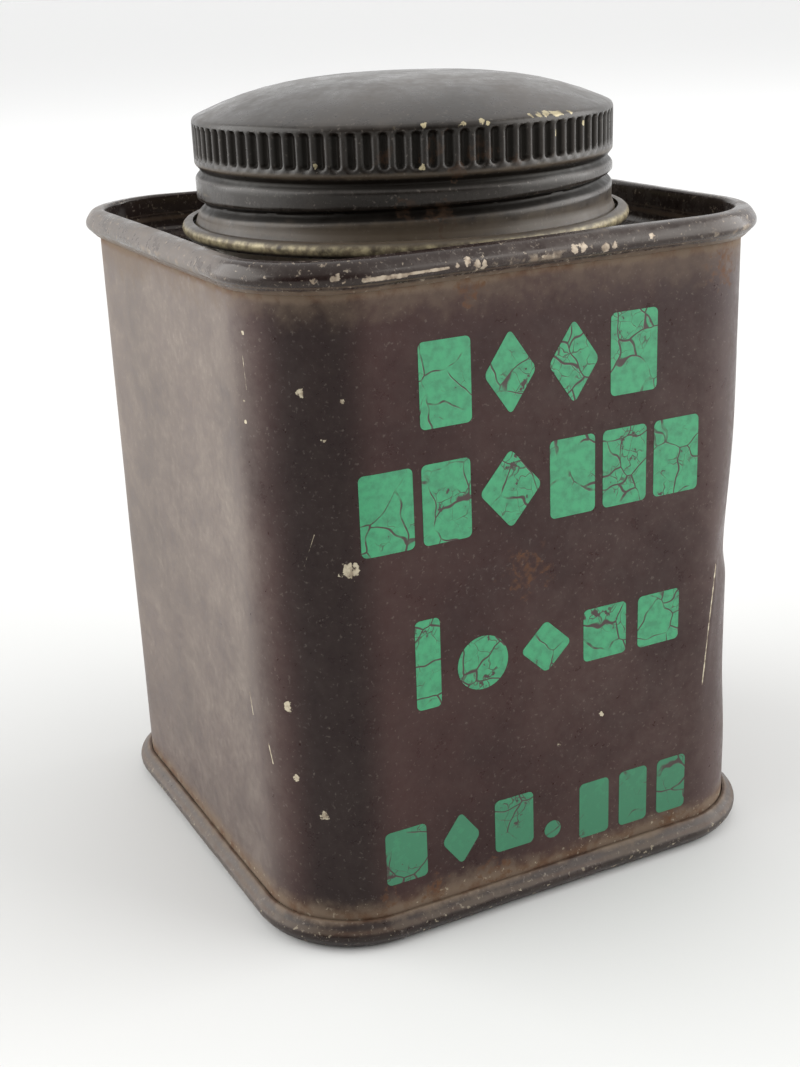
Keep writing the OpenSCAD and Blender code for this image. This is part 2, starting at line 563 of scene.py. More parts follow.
    def stroke(self, start: Place, end: Place, half_width: float, ragged: Value) -> Value:
        """Mask a scratch from one place to another.

        Args:
            start: One end, in millimetres.
            end: The other end.
            half_width: Half its width, in millimetres.
            ragged: Noise that frays it.

        Returns:
            1 on the scratch and 0 beside it.
        """
        a, b = Vector(start) * MM, Vector(end) * MM
        along = (b - a) / (b - a).length_squared
        from_a = self.node("ShaderNodeVectorMath", {"operation": "SUBTRACT"}, {0: self.place, 1: tuple(a)})
        share = self.node("ShaderNodeVectorMath", {"operation": "DOT_PRODUCT"},
                          {0: from_a, 1: tuple(along)}, "Value").held()
        foot = self.node("ShaderNodeVectorMath", {"operation": "SCALE"}, {0: tuple(b - a), "Scale": share})
        away = self.node("ShaderNodeVectorMath", {"operation": "DISTANCE"},
                         {0: from_a, 1: foot}, "Value") * (1 / MM)
        return (away + (ragged - 0.5) * half_width * 1.5).ease(half_width, half_width * 0.6)

    def finish(self, colour: Union[Value, Colour], roughness: Operand, metallic: Operand = 0.0,
               height: Optional[Value] = None, depth: float = 0.02, coat: Operand = 0.0,
               coat_roughness: float = 0.3, specular: float = 0.5,
               tint: Colour = (1, 1, 1)) -> bpy.types.Material:
        """Join the nodes to the shader.

        Args:
            colour: Base colour.
            roughness: Roughness.
            metallic: Share of bare metal.
            height: Relief from 0 to 1, if there is any.
            depth: Depth of the relief, in millimetres.
            coat: Weight of a clear coat.
            coat_roughness: Roughness of that coat.
            specular: Specular level.
            tint: Colour of the reflections.

        Returns:
            The material.
        """
        inputs = {"Base Color": self.paint(colour),
                  "Roughness": roughness, "Metallic": metallic, "Coat Weight": coat,
                  "Coat Roughness": coat_roughness, "Specular IOR Level": specular,
                  "Specular Tint": self.paint(tint)}
        if height is not None:
            inputs["Normal"] = self.node("ShaderNodeBump", {}, {"Height": height, "Distance": depth * MM,
                                         "Strength": 1.0}, "Normal")
        shader = self.node("ShaderNodeBsdfPrincipled", {}, inputs, "BSDF")
        return self.show(shader, "ShaderNodeOutputMaterial")

    def show(self, shader: Value, output: str) -> bpy.types.ID:
        """Send a shader to the output.

        Args:
            shader: The shader.
            output: Type of the output node.

        Returns:
            What the nodes belong to.
        """
        made = self.tree.nodes.new(output)
        self.tree.links.new(shader.socket, made.inputs["Surface"])
        return self.owner


# ---------------------------------------------------------------- finishes


@dataclass(frozen=True)
class Chip:
    """A spot where the enamel has come off."""

    at: Place
    radius: float


@dataclass(frozen=True)
class Scratch:
    """A line scraped through the enamel."""

    start: Place
    end: Place
    half_width: float = 0.07


@dataclass(frozen=True)
class WornBand:
    """A height at which the enamel is worn through, along a ridge."""

    height: float
    half_height: float
    share: float
    outside: Optional[float] = None
    softness: float = 0.03


@dataclass(frozen=True)
class DirtLine:
    """A height at which rust and dirt have gathered against a seam."""

    height: float
    reach: float
    share: float = 0.7
    rusty: float = 0.5


@dataclass
class Surface:
    """A coat of enamel while its layers are laid, with the noises that fray them."""

    recipe: Recipe
    broad: Value
    fine: Value
    speck: Value
    fray: Value
    colour: Value
    rough: Value
    coat: Operand

    def lay(self, tone: Union[Value, Colour], share: Value, roughening: float = 0.0,
            cover: float = 1.0) -> None:
        """Lay a tone over the surface.

        Args:
            tone: Its colour.
            share: Where it lies, from 0 to 1.
            roughening: How much rougher the surface is where it lies.
            cover: How much of the colour below it hides.
        """
        hidden = share if cover == 1.0 else share * cover
        self.colour = self.recipe.mix(self.colour, tone, hidden)
        if roughening:
            self.rough = self.rough + share * roughening


@dataclass(frozen=True)
class Enamel:
    """Old stoving enamel on tinplate: semi-gloss, dusty, chipped along its ridges, with painted shade and
    painted sheen in its colour.
    """

    plan: "SquarePlan"
    colour: Colour = (0.042, 0.0175, 0.0155)
    dark: Colour = (0.028, 0.0115, 0.0105)
    # Darker enamel, laid as painted shade on the front left-hand corner and as the dark line of the lock
    # seam.
    shade_and_seam_dark: Colour = (0.012, 0.0055, 0.0050)
    dust: Colour = (0.25, 0.215, 0.185)
    grime: Colour = (0.16, 0.115, 0.080)
    rust: Colour = (0.11, 0.048, 0.020)
    bare: Colour = (0.52, 0.46, 0.34)
    gloss: float = 0.36
    specular: float = 0.22
    coat: float = 0.0
    tint: Colour = (1.0, 1.0, 1.0)
    dust_share: float = 0.05
    # Extra film on the left wall: partly dust, partly painted sheen.
    side_dust_and_sheen: float = 0.0
    # Extra film where a surface looks up: partly dust, partly painted sheen.
    top_dust_and_sheen: float = 0.0
    mottle: float = 0.3
    flecks: float = 0.10
    grit: float = 0.0
    grit_below: float = 3.0
    # Radius inside which a cap's pushed-in side is darkened with painted shade.
    shade_hollow_r: Optional[float] = None
    seam_x: Optional[float] = None
    chips: tuple[Chip, ...] = ()
    stains: tuple[Chip, ...] = ()
    scratches: tuple[Scratch, ...] = ()
    worn: tuple[WornBand, ...] = ()
    dirt: tuple[DirtLine, ...] = ()

    def dust_and_sheen_film(self, r: Recipe, broad: Value, fine: Value) -> Value:
        """Weigh the dust film: a film over every surface, heavier towards the right, and thicker on the left
        wall and where a surface looks up, where its paler colour is partly dust and partly painted sheen.

        Args:
            r: The material's recipe.
            broad: Noise of broad clouds.
            fine: Noise of fine grain.

        Returns:
            Its share of the surface.
        """
        x, y, z = r.axes()
        film = (broad.ease(0.35, 0.75) * 0.7 + fine.ease(0.35, 0.8) * 0.4 + 0.3) * self.dust_share
        film = film * (x.ease(-12, 20) * 1.6 + 0.5)
        # Painted sheen: the lit left wall is paled towards the dust colour, partly for its dust and partly as
        # painted sheen.
        if self.side_dust_and_sheen:
            left = x.ease(-19.5, -22.2) * y.ease(-19.5, -12.0) * (z.ease(0, 34) * 0.35 + 0.65)
            film = film + left * (broad.ease(0.25, 0.8) * 0.25 + fine * 0.25 + 0.7) * self.side_dust_and_sheen
        # Painted sheen: surfaces that look up, such as the cap's dome, are paled towards the dust colour,
        # partly for their dust and partly as painted sheen of the overhead light.
        if self.top_dust_and_sheen:
            film = film + r.up().ease(0.1, 0.95) * (broad.ease(0.3, 0.7) * 0.5 + 0.5) * self.top_dust_and_sheen
        return film

    def dusted(self, r: Recipe) -> Surface:
        """Start the surface: clouded enamel, with painted shade on the front left-hand corner, under its dust
        and painted sheen.

        Args:
            r: The material's recipe.

        Returns:
            The surface, ready for its stains.
        """
        x, y, _ = r.axes()
        broad, fine, speck = r.grain(13, 4), r.grain(1.3, 5, 0.03), r.grain(0.32, 2, 0.07)
        fray, patches = r.grain(0.7, 4, 0.17), r.grain(3.2, 6, 0.21)
        colour = r.mix(self.dark, self.colour, broad.ease(0.3, 0.65))
        # Painted shade: the front left-hand corner is darkened, standing in for the dark reflection it shows.
        corner_shade = x.ease(-14.0, -17.5) * y.ease(-17.5, -20.5)
        colour = r.mix(colour, self.shade_and_seam_dark, corner_shade * 0.85)
        cloudy = (patches * 0.55 + fray * 0.45 - 0.5) * self.mottle
        # This film carries painted sheen as well as dust.
        dust = self.dust_and_sheen_film(r, broad, fine) * (cloudy * 2.6 + 1.0)
        dust = (dust + cloudy * 0.10 + speck.ease(0.60, 0.74) * self.flecks).held()
        rough = dust * 0.35 + self.gloss + (fine - 0.5) * 0.12 + cloudy * 0.7
        colour = r.mix(colour, self.dust, dust)
        return Surface(r, broad, fine, speck, fray, colour, rough, self.coat)

    def lay_dirt(self, skin: Surface) -> None:
        """Lay rust and dirt along the seams."""
        z = skin.recipe.axes()[2]
        for line in self.dirt:
            away = abs(z - line.height) + (skin.fine - 0.5) * line.reach * 1.3
            away = away + (skin.broad - 0.5) * line.reach * 1.5
            rusty = (skin.fine * 0.6 + skin.broad * 0.4).ease(0.45, 0.62) * line.rusty
            stain = away.ease(line.reach, line.reach * 0.1) * line.share
            skin.lay(skin.recipe.mix(self.grime, self.rust, rusty), stain, 0.3)

    def paint_shade_in_hollows(self, skin: Surface, radius: float) -> None:
        """Paint shade into a cap's side where it is pushed in, and polish its side below the knurls a little.

        Args:
            skin: The cap's surface.
            radius: Radius inside which the side counts as pushed in, in millimetres.
        """
        x, y, z = skin.recipe.axes()
        side = z.ease(55.9, 56.5) * z.ease(63.5, 63.3)
        hollow = ((x * x + y * y) ** 0.5).ease(radius, radius - 0.2) * side
        skin.coat = (1.0 - hollow) * self.coat
        # Painted shade: the pushed-in knurl flutes, bead and thread groove are darkened almost to black,
        # where shade falls.
        skin.lay((0.006, 0.0045, 0.0035), hollow * (skin.fine.ease(0.2, 0.5) * 0.3 + 0.7))
        skin.rough = skin.rough + hollow * 0.12 - side * z.ease(60.4, 59.8) * 0.07

    def lay_stains(self, skin: Surface) -> None:
        """Lay the rust stains."""
        patchy = (skin.fray * 0.6 + skin.fine * 0.4).ease(0.42, 0.60)
        for stain in self.stains:
            skin.lay(self.rust, skin.recipe.spot(stain.at, stain.radius, skin.fine) * patchy, 0.25, 0.7)

    def draw_seam(self, skin: Surface, seam_x: float) -> None:
        """Draw the dark line of the lock seam down the back, with grime beside it.

        Args:
            skin: The body's surface.
            seam_x: Where the line runs, in millimetres.
        """
        x, y, z = skin.recipe.axes()
        beside = abs(x - seam_x + (skin.fine - 0.5) * 0.25)
        line = y.ease(20.0, 21.0) * z.ease(2.0, 2.6) * z.ease(53.7, 53.1)
        skin.lay(self.shade_and_seam_dark, beside.ease(0.22, 0.10) * line, cover=0.9)
        skin.lay(self.grime, beside.ease(1.3, 0.2) * beside.ease(0.10, 0.22) * line, cover=0.35)

    def bared(self, skin: Surface) -> Value:
        """Weigh where the enamel is gone: pinpricks, grit, worn bands, chips and scratches.

        Args:
            skin: The surface.

        Returns:
            Share of bare tinplate, from 0 to 1.
        """
        r, z = skin.recipe, skin.recipe.axes()[2]
        bare = skin.speck.ease(0.80, 0.84) * 0.5
        if self.grit:
            low = z.ease(self.grit_below, self.grit_below - 1.5)
            bare = bare.at_least(r.grain(0.45, 3, 0.13).ease(0.62, 0.68) * low * self.grit)
        for band in self.worn:
            close = abs(z - band.height).ease(band.half_height, band.half_height * 0.3)
            if band.outside is not None:
                close = close * r.outward(self.plan).ease(band.outside - 0.15, band.outside)
            start = 0.66 - band.share * 0.25
            patch = (skin.fine * 0.6 + skin.broad * 0.4).ease(start, start + band.softness)
            bare = bare.at_least(close * patch)
        for chip in self.chips:
            bare = bare.at_least(r.spot(chip.at, chip.radius, skin.fray))
        for scratch in self.scratches:
            bare = bare.at_least(r.stroke(scratch.start, scratch.end, scratch.half_width, skin.fray))
        return bare.held()

    def material(self, name: str) -> bpy.types.Material:
        """Build the enamel.

        Args:
            name: Name of the material.

        Returns:
            The material.
        """
        r = Recipe(name)
        skin = self.dusted(r)
        self.lay_dirt(skin)
        if self.shade_hollow_r is not None:
            self.paint_shade_in_hollows(skin, self.shade_hollow_r)
        self.lay_stains(skin)
        if self.seam_x is not None:
            self.draw_seam(skin, self.seam_x)
        bare = self.bared(skin)
        tarnish = (skin.fray * 0.6 + skin.fine * 0.4).ease(0.42, 0.60) * 0.8
        skin.lay(r.mix(self.bare, self.grime, tarnish), bare, 0.15)
        relief = skin.fine * 0.35 + skin.speck * 0.15 + 0.5 - bare * 0.5
        return r.finish(skin.colour, skin.rough.held(), bare * 0.3, relief, 0.015, coat=skin.coat,
                        coat_roughness=self.gloss, specular=self.specular, tint=self.tint)


@dataclass(frozen=True)
class BareTin:
    """Dull bare tinplate, with the rolling direction still in it."""

    colour: Colour = (0.50, 0.47, 0.41)
    stain: Colour = (0.16, 0.10, 0.055)
    roughness: float = 0.36
    stain_share: float = 0.45

    def material(self, name: str) -> bpy.types.Material:
        """Build the tinplate.

        Args:
            name: Name of the material.

        Returns:
            The material.
        """
        r = Recipe(name)
        drawn = r.grain(0.5, 3, 0.01, (1, 1, 14))
        cloud, fine = r.grain(6, 4, 0.05), r.grain(0.7, 4, 0.09)
        stain = (cloud * 0.6 + fine * 0.4).ease(0.5, 0.68) * self.stain_share
        colour = r.mix(self.colour, self.stain, stain)
        rough = stain * 0.5 + self.roughness + (drawn - 0.5) * 0.2
        relief = drawn * 0.5 + fine * 0.5
        return r.finish(colour, rough.held(), 0.9 - stain * 0.8, relief, 0.012)


@dataclass(frozen=True)
class PrintInk:
    """Printed green ink that has crazed and flaked off."""

    colour: Colour = (0.042, 0.300, 0.135)
    shade: Colour = (0.030, 0.170, 0.085)
    under: Colour = (0.045, 0.024, 0.022)

    def material(self, name: str) -> bpy.types.Material:
        """Build the ink.

        Args:
            name: Name of the material.

        Returns:
            The material.
        """
        r = Recipe(name)
        broad, fine, speck = r.grain(5, 4, 0.02), r.grain(0.7, 5, 0.04), r.grain(0.22, 3, 0.06)
        crack = r.cells(3.35, "DISTANCE_TO_EDGE", "Distance", 1.6).ease(0.026, 0.010) * broad.ease(0.40, 0.52)
        hair = r.cells(1.35, "DISTANCE_TO_EDGE", "Distance", 0.9).ease(0.035, 0.012) * broad.ease(0.50, 0.60)
        crack = crack.at_least(hair * 0.8)
        flake = (broad * 0.5 + fine * 0.5).ease(0.60, 0.625)
        pits = speck.ease(0.70, 0.76) * 0.5
        gone = crack.at_least(flake).at_least(pits).held()
        # The ink is darker towards the bottom.
        darker_low = r.axes()[2].ease(18, 6) * 0.9
        colour = r.mix(self.colour, self.shade, (fine.ease(0.35, 0.75) * 0.8 + darker_low).held())
        colour = r.mix(colour, self.under, gone)
        relief = 1.0 - gone * 0.7 + fine * 0.2
        return r.finish(colour, fine * 0.15 + 0.42, 0.0, relief, 0.02)


@dataclass(frozen=True)
class Board:
    """Soft board or paper: fibrous, matt, a little stained."""

    colour: Colour
    shade: Colour
    roughness: float
    fibre: float
    coat: float = 0.0

    def material(self, name: str) -> bpy.types.Material:
        """Build the board.

        Args:
            name: Name of the material.

        Returns:
            The material.
        """
        r = Recipe(name)
        cloud, fibre = r.grain(5, 4, 0.03), r.grain(self.fibre, 4, 0.08, (1, 3, 1))
        speck = r.grain(0.25, 2, 0.11).ease(0.68, 0.76)
        colour = r.mix(self.colour, self.shade, (cloud * 0.5 + fibre * 0.5).ease(0.35, 0.7))
        colour = r.mix(colour, self.shade, speck * 0.6)
        return r.finish(colour, fibre * 0.15 + self.roughness, 0.0, fibre, 0.03, coat=self.coat)


# ---------------------------------------------------------------- the canister


@dataclass(frozen=True)
class SquarePlan:
    """Plan of the square body at the outer face of its walls."""

    width: float = 45.0
    corner_r: float = 8.0

    def front(self, x: float, z: float) -> Place:
        """Find the place on the front wall, or on its rounded corners, at x and z."""
        flat = self.width / 2 - self.corner_r
        over = max(0.0, abs(x) - flat)
        return x, -flat - math.sqrt(self.corner_r ** 2 - over ** 2), z

    def left(self, y: float, z: float) -> Place:
        """Find the place on the left wall at y and z."""
        return self.front(y, z)[1], y, z

    def ridge(self, x: float, z: float) -> Place:
        """Find the place on the front ridge of an end's rolled seam at x and z."""
        out = 1.2
        return SquarePlan(self.width + 2 * out, self.corner_r + out).front(x, z)


@dataclass(frozen=True)
class Thread:
    """One right-hand thread round the Z axis; angles in degrees from the X axis."""

    base: float
    start: float
    end: float
    pitch: float = 2.7
    fade: float = 14.0

    def weight(self, at: Vector, flank: Callable[[float], float]) -> float:
        """Weigh the thread at a place on its cylinder.

        Args:
            at: The place, in millimetres.
            flank: Weight of the thread's section at a height above its crest.

        Returns:
            Share of the thread's full depth.
        """
        angle = math.degrees(math.atan2(at.y, at.x)) % 360
        deepest = 0.0
        for turned in (angle - 360, angle, angle + 360):
            ends = smooth_step(self.start, self.start + self.fade, turned)
            ends *= smooth_step(self.end, self.end - self.fade, turned)
            above = at.z - self.base - self.pitch * turned / 360
            deepest = max(deepest, ends * flank(above))
        return deepest


@dataclass
class SubAssembly:
    """What every sub-assembly shares: how a finished piece joins the frame."""

    def mount(self, piece: bpy.types.Object, finish: bpy.types.Material, body: Body,
              slot: Slot, *nodes: str) -> bpy.types.Object:
        """Dress a piece and put it on its body.

        Args:
            piece: The finished mesh.
            finish: Its material.
            body: The body that it moves with.
            slot: The record's slot that its finish stands for; not used.
            nodes: CAD nodes that it stands for.

        Returns:
            The piece.
        """
        piece.data.materials.clear()
        piece.data.materials.append(finish)
        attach(piece, body.value)
        if nodes:
            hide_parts(*nodes)
        log.info("%s: %d faces on %s", piece.name, len(piece.data.polygons), body.value)
        return piece


@dataclass
class WrappedBody(SubAssembly):
    """The body: one sheet bent round a square, hooked into both end seams."""

    plan: SquarePlan = field(default_factory=SquarePlan)
    height: float = 55.7
    sheet: float = 0.28
    flange: float = 0.55
    hook_x: float = 0.62
    hook_h: float = 1.6
    ring_gap: float = 0.6
    corner_steps: int = 22
    wall_steps: int = 44

    def path(self) -> list[Point]:
        """Trace the sheet's outer face from the lower hook to the upper one."""
        top = self.height
        return divided(bent([
            (self.hook_x, self.hook_h, 0), (self.hook_x, self.flange, 0.28), (0, self.flange, 0.3),
            (0, top - self.flange, 0.3), (self.hook_x, top - self.flange, 0.28),
            (self.hook_x, top - self.hook_h, 0)], 30), self.ring_gap)

    @staticmethod
    def corner_dent(at: Vector) -> float:
        """Weigh the dent whose crease runs down the front right-hand corner.

        Args:
            at: A place, in millimetres.

        Returns:
            Share of the dent's full depth.
        """
        if at.x < 13 or at.y > 2:
            return 0.0
        crease_x = 15.95 + (at.z - 15.1) * 0.137
        fade = smooth_step(2.0, -13.0, at.y)
        knee_z = 26.2
        if at.z > knee_z:
            soft = smooth_step(crease_x - 2.5, crease_x + 2.5, at.x)
            return soft * fade * smooth_step(42.0, knee_z, at.z) ** 1.5
        side = smooth_step(crease_x - 0.1, crease_x + 1.3, at.x)
        return side * fade * (0.5 + 0.5 * smooth_step(23.5, knee_z, at.z)) * smooth_step(7.0, 16.0, at.z)

    @staticmethod
    def back_seam(at: Vector) -> float:
        """Weigh the step of the lock seam down the back."""
        if at.y < 20:
            return 0.0
        return smooth_step(1.5, 2.2, at.x) * smooth_step(9.0, 3.0, at.x)

    @staticmethod
    def left_hollow(at: Vector) -> float:
        """Weigh the shallow hollow in the left-hand wall."""
        if at.x > -20:
            return 0.0
        return math.exp(-(((at.y + 2) / 9) ** 2 + ((at.z - 33) / 12) ** 2))

    def build(self, finish: bpy.types.Material) -> bpy.types.Object:
        """Model and dress the body.

        Args:
            finish: Its enamel.

        Returns:
            The piece.
        """
        piece = Bench.square_ring("body_wall", self.path(), self.plan, self.corner_steps, self.wall_steps)
        Bench.ripple(piece, 0.16, 16)
        Bench.press(piece, 0.75, self.corner_dent, "X")
        Bench.press(piece, 0.25, self.left_hollow)
        Bench.press(piece, 0.24, self.back_seam)
        Bench.thicken(piece, self.sheet)
        Bench.polish(piece)
        return self.mount(piece, finish, Body.TIN, Slot.ENAMEL, "body_shell")


@dataclass
class StampedEnd(SubAssembly):
    """A recessed end whose rim is rolled over the body's flange in a double seam."""

    name: str
    node: str
    rim_z: float
    inward: int
    recess: float
    plan: SquarePlan = field(default_factory=SquarePlan)
    sheet: float = 0.25
    hole_r: float = 0.0
    panel_edge: float = 5.4
    pad_r: float = 3.0
    panel_steps: int = 5
    corner_steps: int = 22
    wall_steps: int = 36

    def path(self) -> list[Point]:
        """Trace the end's outer face from its panel, over the roll and under its tuck."""
        corners = [
            (-self.panel_edge, self.recess, 0), (-0.62, self.recess, 0.9), (-0.62, 0.0, 0.32),
            (0.55, 0.08, 0.9), (1.2, 1.0, 0.8), (1.17, 1.5, 0.5), (0.3, 2.36, 0.2), (0.06, 2.3, 0)]
        return divided([(x, self.rim_z + self.inward * s) for x, s in bent(corners, 12)], 1.2)

    def build(self, finish: bpy.types.Material) -> bpy.types.Object:
        """Model and dress the end.

        Args:
            finish: Its enamel.

        Returns:
            The piece.
        """
        piece = Bench.square_ring(self.name, self.path(), self.plan, self.corner_steps, self.wall_steps)
        self.close_panel(piece)
        Bench.ripple(piece, 0.10, 9)
        Bench.thicken(piece, self.sheet)
        Bench.polish(piece, 50)
        return self.mount(piece, finish, Body.TIN, Slot.ENAMEL, self.node)

    def close_panel(self, piece: bpy.types.Object) -> None:
        """Draw the panel in from the swept rim to a circle, which stays open where the neck goes.

        Args:
            piece: The swept rim.
        """
        slack = 0.01
        half = self.plan.width / 2 - self.panel_edge + slack
        panel_z = self.rim_z + self.inward * self.recess
        circle = (self.hole_r or self.pad_r) * MM
        Bench.hold(piece, editing=True)
        Bench.pick(piece, lambda at: (abs(at.z / MM - panel_z) < 2 * slack
                                      and max(abs(at.x), abs(at.y)) / MM < half))
        for steps_left in range(self.panel_steps, 0, -1):
            bpy.ops.mesh.extrude_edges_indiv()
            mesh = bmesh.from_edit_mesh(piece.data)
            for vertex in mesh.verts:
                if vertex.select:
                    vertex.co.xy = vertex.co.xy.lerp(vertex.co.xy.normalized() * circle, 1 / steps_left)
            bmesh.update_edit_mesh(piece.data)
        if not self.hole_r:
            bpy.ops.mesh.edge_face_add()
        Bench.close_skin(piece, (0, -100, 28))


@dataclass
class ScrewCap(SubAssembly):
    """The cap: drawn from one sheet, knurled, rolled with its thread and curled at the bottom."""

    radius: float = 17.7
    sheet: float = 0.25
    shoulder_z: float = 63.6
    top_z: float = 66.6
    dome_exponent: float = 2.9
    bead_z: float = 59.45
    bead_depth: float = 0.5
    skirt_z: float = 56.1
    curl_z: float = 54.75
    curl_x: float = 18.45
    curl_r: float = 0.4
    knurls: int = 90
    knurl_top: float = 63.35
    knurl_bottom: float = 60.5
    knurl_depth: float = 0.46
    thread: Thread = Thread(55.57, 84.0, 414.0)
    thread_depth: float = 0.62
    steps: int = 630

    def path(self) -> list[Point]:
        """Trace the cap's outer face from the top of the dome to the end of the curl."""
        reach, edge_z = self.radius - 0.75, self.shoulder_z + 0.45
        dome = [(reach * k / 10, edge_z + (self.top_z - edge_z) * (1 - (k / 10) ** self.dome_exponent))
                for k in range(10)]
        side = bent([
            (reach, edge_z, 0), (self.radius - 0.05, self.shoulder_z + 0.12, 0.5),
            (self.radius, self.knurl_top, 0)], 15)
        drops = (0.15, 0.3, 0.5, 0.85, 1.45, 2.0, 2.35, 2.55, 2.7, self.knurl_top - self.knurl_bottom)
        knurled = [(self.radius, self.knurl_top - drop) for drop in drops]
        bead = bent([
            (self.radius, self.knurl_bottom, 0), (self.radius, self.bead_z + 0.6, 0.35),
            (self.radius - self.bead_depth, self.bead_z, 0.3), (self.radius, self.bead_z - 0.55, 0.35),
            (self.radius, self.bead_z - 0.9, 0)], 20)
        skirt = divided([(self.radius, self.bead_z - 0.9), (self.radius - 0.05, self.skirt_z)], 0.16)
        flare = divided(bent([
            (self.radius - 0.05, self.skirt_z, 0), (self.radius, self.skirt_z - 0.3, 0.6),
            (self.curl_x - self.curl_r, self.curl_z + 0.15, 0)], 12), 0.25)
        curl = [(self.curl_x + self.curl_r * math.cos(math.radians(a)),
                 self.curl_z + self.curl_r * math.sin(math.radians(a))) for a in range(180, 481, 30)]
        return dome + side + knurled + bead[1:] + skirt[1:] + flare[1:] + curl

    def spot(self, angle_deg: float, z: float) -> Place:
        """Find the place on the cap's side at an angle and a height."""
        angle = math.radians(angle_deg)
        reach = self.radius - max(0.0, z - self.shoulder_z) * 0.9
        return reach * math.cos(angle), reach * math.sin(angle), z

    def knurl_weight(self, at: Vector) -> float:
        """Weigh the hollows that are pushed in between the knurls.

        Args:
            at: A place, in millimetres.

        Returns:
            Share of a hollow's full depth.
        """
        half_h = (self.knurl_top - self.knurl_bottom) / 2
        up = abs(at.z - self.knurl_bottom - half_h) / half_h
        if up >= 1 or math.hypot(at.x, at.y) < self.radius - 1:
            return 0.0
        share = math.atan2(at.y, at.x) / FULL_TURN * self.knurls % 1.0
        across = abs(share - 0.5) * 2
        arch = up + 0.16 * across ** 2
        return smooth_step(0.95, 0.0, across) * smooth_step(1.0, 0.84, arch)

    def thread_weight(self, at: Vector) -> float:
        """Weigh the rolled thread: a crisp upper flank and a slack lower one.

        Args:
            at: A place, in millimetres.

        Returns:
            Share of the thread's full depth.
        """
        if at.z > self.bead_z - 0.2 or at.z < self.skirt_z - 0.8 or math.hypot(at.x, at.y) < 16:
            return 0.0
        return self.thread.weight(at, self.flank)

    @staticmethod
    def flank(above: float) -> float:
        """Weigh the thread's section at a height above its deepest line."""
        return smooth_step(0.42, 0.05, above) if above > 0 else smooth_step(-0.85, -0.05, above)

    def build(self, finish: bpy.types.Material) -> bpy.types.Object:
        """Model and dress the cap.

        Args:
            finish: Its enamel.

        Returns:
            The piece.
        """
        piece = Bench.lathe("screw_cap", self.path(), self.steps)
        Bench.press(piece, self.knurl_depth, self.knurl_weight)
        Bench.press(piece, self.thread_depth, self.thread_weight)
        Bench.ripple(piece, 0.10, 9)
        Bench.thicken(piece, self.sheet)
        Bench.polish(piece, 60)
        return self.mount(piece, finish, Body.CAP, Slot.CAP_ENAMEL, "cap_shell")


@dataclass
class NeckRing(SubAssembly):
    """The neck: a threaded ring clinched into the top end, with its rim turned in."""

    radius: float = 16.4
    panel_z: float = 52.3
    top_z: float = 62.2
    sheet: float = 0.25
    bead_w: float = 1.2
    rim_w: float = 1.3
    rim_depth: float = 1.4
    thread: Thread = Thread(56.47, -150.0, 240.0)
    thread_height: float = 0.72
    steps: int = 240

    def path(self) -> list[Point]:
        """Trace the neck's outer face from its clinch to the end of its turned-in rim."""
        foot = bent([
            (self.radius + 1.3, self.panel_z - 0.62, 0), (self.radius, self.panel_z - 0.62, 0.12),
            (self.radius, self.panel_z + 0.02, 0.1), (self.radius + self.bead_w, self.panel_z + 0.02, 0.25),
            (self.radius + self.bead_w, self.panel_z + 0.62, 0.25), (self.radius, self.panel_z + 0.66, 0.3),
            (self.radius, self.panel_z + 1.4, 0)], 30)
        wall = divided([(self.radius, self.panel_z + 1.4), (self.radius, self.top_z - 1.2)], 0.16)
        rim = bent([
            (self.radius, self.top_z - 1.2, 0), (self.radius, self.top_z, 0.65),
            (self.radius - self.rim_w, self.top_z, 0.55),
            (self.radius - self.rim_w, self.top_z - self.rim_depth, 0)], 15)
        return foot + wall[1:] + rim[1:]

    def thread_weight(self, at: Vector) -> float:
        """Weigh the raised thread.

        Args:
            at: A place, in millimetres.

        Returns:
            Share of the thread's full height.
        """
        if math.hypot(at.x, at.y) < self.radius - 0.2 or at.z < self.panel_z + 1.3:
            return 0.0
        return self.thread.weight(at, lambda above: smooth_step(0.52, 0.08, abs(above)))

    def build(self, finish: bpy.types.Material) -> bpy.types.Object:
        """Model and dress the neck.

        Args:
            finish: Its tinplate.

        Returns:
            The piece.
        """
        piece = Bench.lathe("neck", self.path(), self.steps, (0, -100, 57))
        Bench.press(piece, -self.thread_height, self.thread_weight)
        Bench.thicken(piece, self.sheet)
        Bench.polish(piece, 50)
        return self.mount(piece, finish, Body.TIN, Slot.BARE, "neck_ring")


